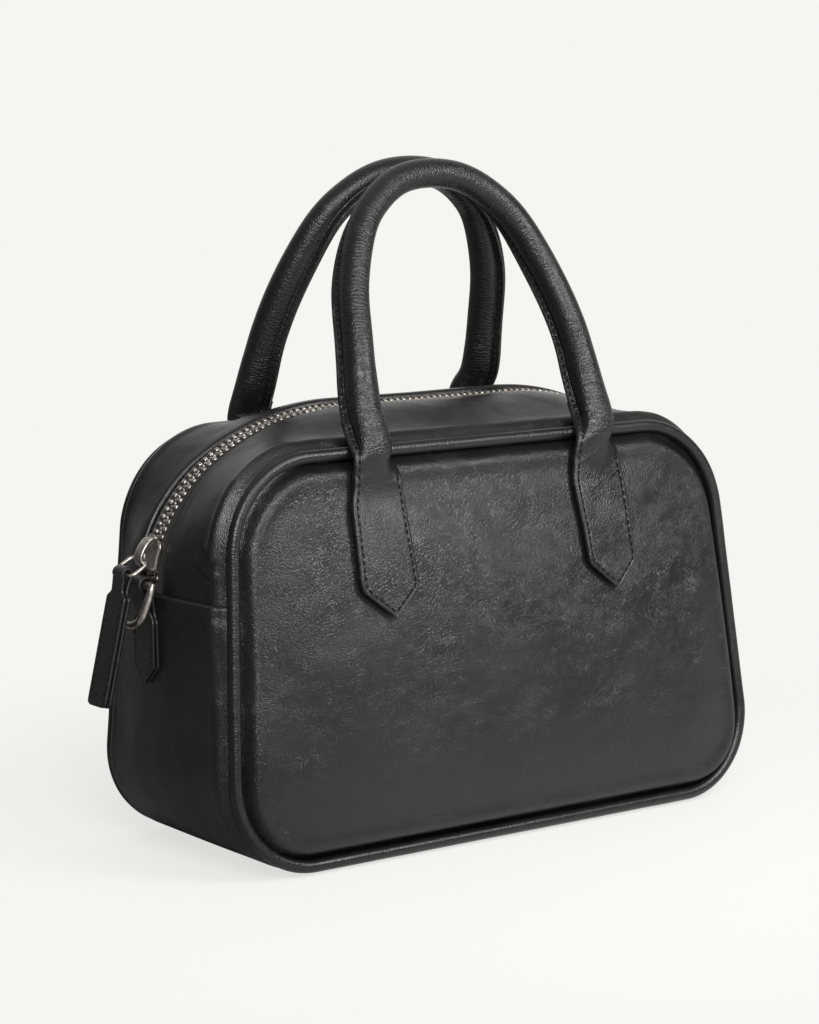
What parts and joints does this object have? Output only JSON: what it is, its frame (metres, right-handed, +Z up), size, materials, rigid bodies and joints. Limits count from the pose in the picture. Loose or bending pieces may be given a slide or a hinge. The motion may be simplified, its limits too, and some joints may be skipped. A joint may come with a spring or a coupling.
{
  "type": "bowling bag",
  "caption": "Small leather bowling bag with piped panels, a domed zipped top, twin rolled handles, a zip with a strap puller, and rings in loops at the sides.",
  "frame": {"origin": "middle of the base patch's underside, on the ground", "axes": "+Z up; -Y out of the front panel; X along the bag's width, with the zip's pull side at -X"},
  "size_m": [0.3011, 0.1099, 0.2691],
  "materials": {
    "grained_leather": "semi-gloss, fine crackled grain",
    "strap_leather": "semi-gloss, fine grain, stitched",
    "lining_fabric": "matte woven",
    "zip_tape": "matte woven",
    "handle_cord": "matte",
    "base_board": "matte",
    "dark_nickel": "polished dark nickel"
  },
  "bodies": {
    "bag_body": {"front_panel": "grained_leather", "back_panel": "grained_leather", "front_zip_strip": "grained_leather", "back_zip_strip": "grained_leather", "lower_gusset": "grained_leather", "base_patch": "grained_leather", "front_piping": "strap_leather", "back_piping": "strap_leather", "side_strap_left": "strap_leather", "side_strap_right": "strap_leather", "front_handle_tab_left": "strap_leather", "front_handle_tab_right": "strap_leather", "back_handle_tab_left": "strap_leather", "back_handle_tab_right": "strap_leather", "front_lining": "lining_fabric", "back_lining": "lining_fabric", "gusset_lining": "lining_fabric", "inner_pocket": "lining_fabric", "zip_tape_front": "zip_tape", "zip_tape_back": "zip_tape", "base_board": "base_board", "zip_teeth_front": "dark_nickel", "zip_teeth_back": "dark_nickel", "zip_top_stop_front": "dark_nickel", "zip_top_stop_back": "dark_nickel", "zip_bottom_stop": "dark_nickel"},
    "zip_slider": {"zip_slider": "dark_nickel"},
    "pull_ring": {"pull_ring": "dark_nickel"},
    "zip_puller": {"zip_puller": "strap_leather"},
    "side_ring_left": {"side_ring_left": "dark_nickel"},
    "side_ring_right": {"side_ring_right": "dark_nickel"},
    "front_handle": {"front_handle_roll": "strap_leather", "front_handle_core": "handle_cord"},
    "back_handle": {"back_handle_roll": "strap_leather", "back_handle_core": "handle_cord"}
  },
  "joints": [
    {"name": "zip_run", "type": "hinge", "parent": "bag_body", "child": "zip_slider", "pos_m": [-0.07082, 0.00828, 0.103], "axis": [0, 0.9988, -0.0495], "range_deg": [0, 38]},
    {"name": "pull_ring_turn", "type": "hinge", "parent": "zip_slider", "child": "pull_ring", "pos_m": [-0.13553, 0.00828, 0.12256], "axis": [0, 1, 0], "range_deg": [0, 100]},
    {"name": "puller_swing", "type": "hinge", "parent": "pull_ring", "child": "zip_puller", "pos_m": [-0.1443, 0.00828, 0.11408], "axis": [0, 1, 0], "range_deg": [0, 90]},
    {"name": "side_ring_left_swing", "type": "hinge", "parent": "bag_body", "child": "side_ring_left", "pos_m": [-0.13735, 0.00774, 0.1094], "axis": [0, 1, 0], "range_deg": [-12, 10]},
    {"name": "side_ring_right_swing", "type": "hinge", "parent": "bag_body", "child": "side_ring_right", "pos_m": [0.13735, 0.00774, 0.1094], "axis": [0, -1, 0], "range_deg": [-12, 150]},
    {"name": "front_handle_fold", "type": "hinge", "parent": "bag_body", "child": "front_handle", "pos_m": [0, -0.03597, 0.1465], "axis": [1, 0, 0], "range_deg": [0, 140]},
    {"name": "back_handle_fold", "type": "hinge", "parent": "bag_body", "child": "back_handle", "pos_m": [0, 0.05339, 0.1465], "axis": [-1, 0, 0], "range_deg": [0, 140]}
  ]
}
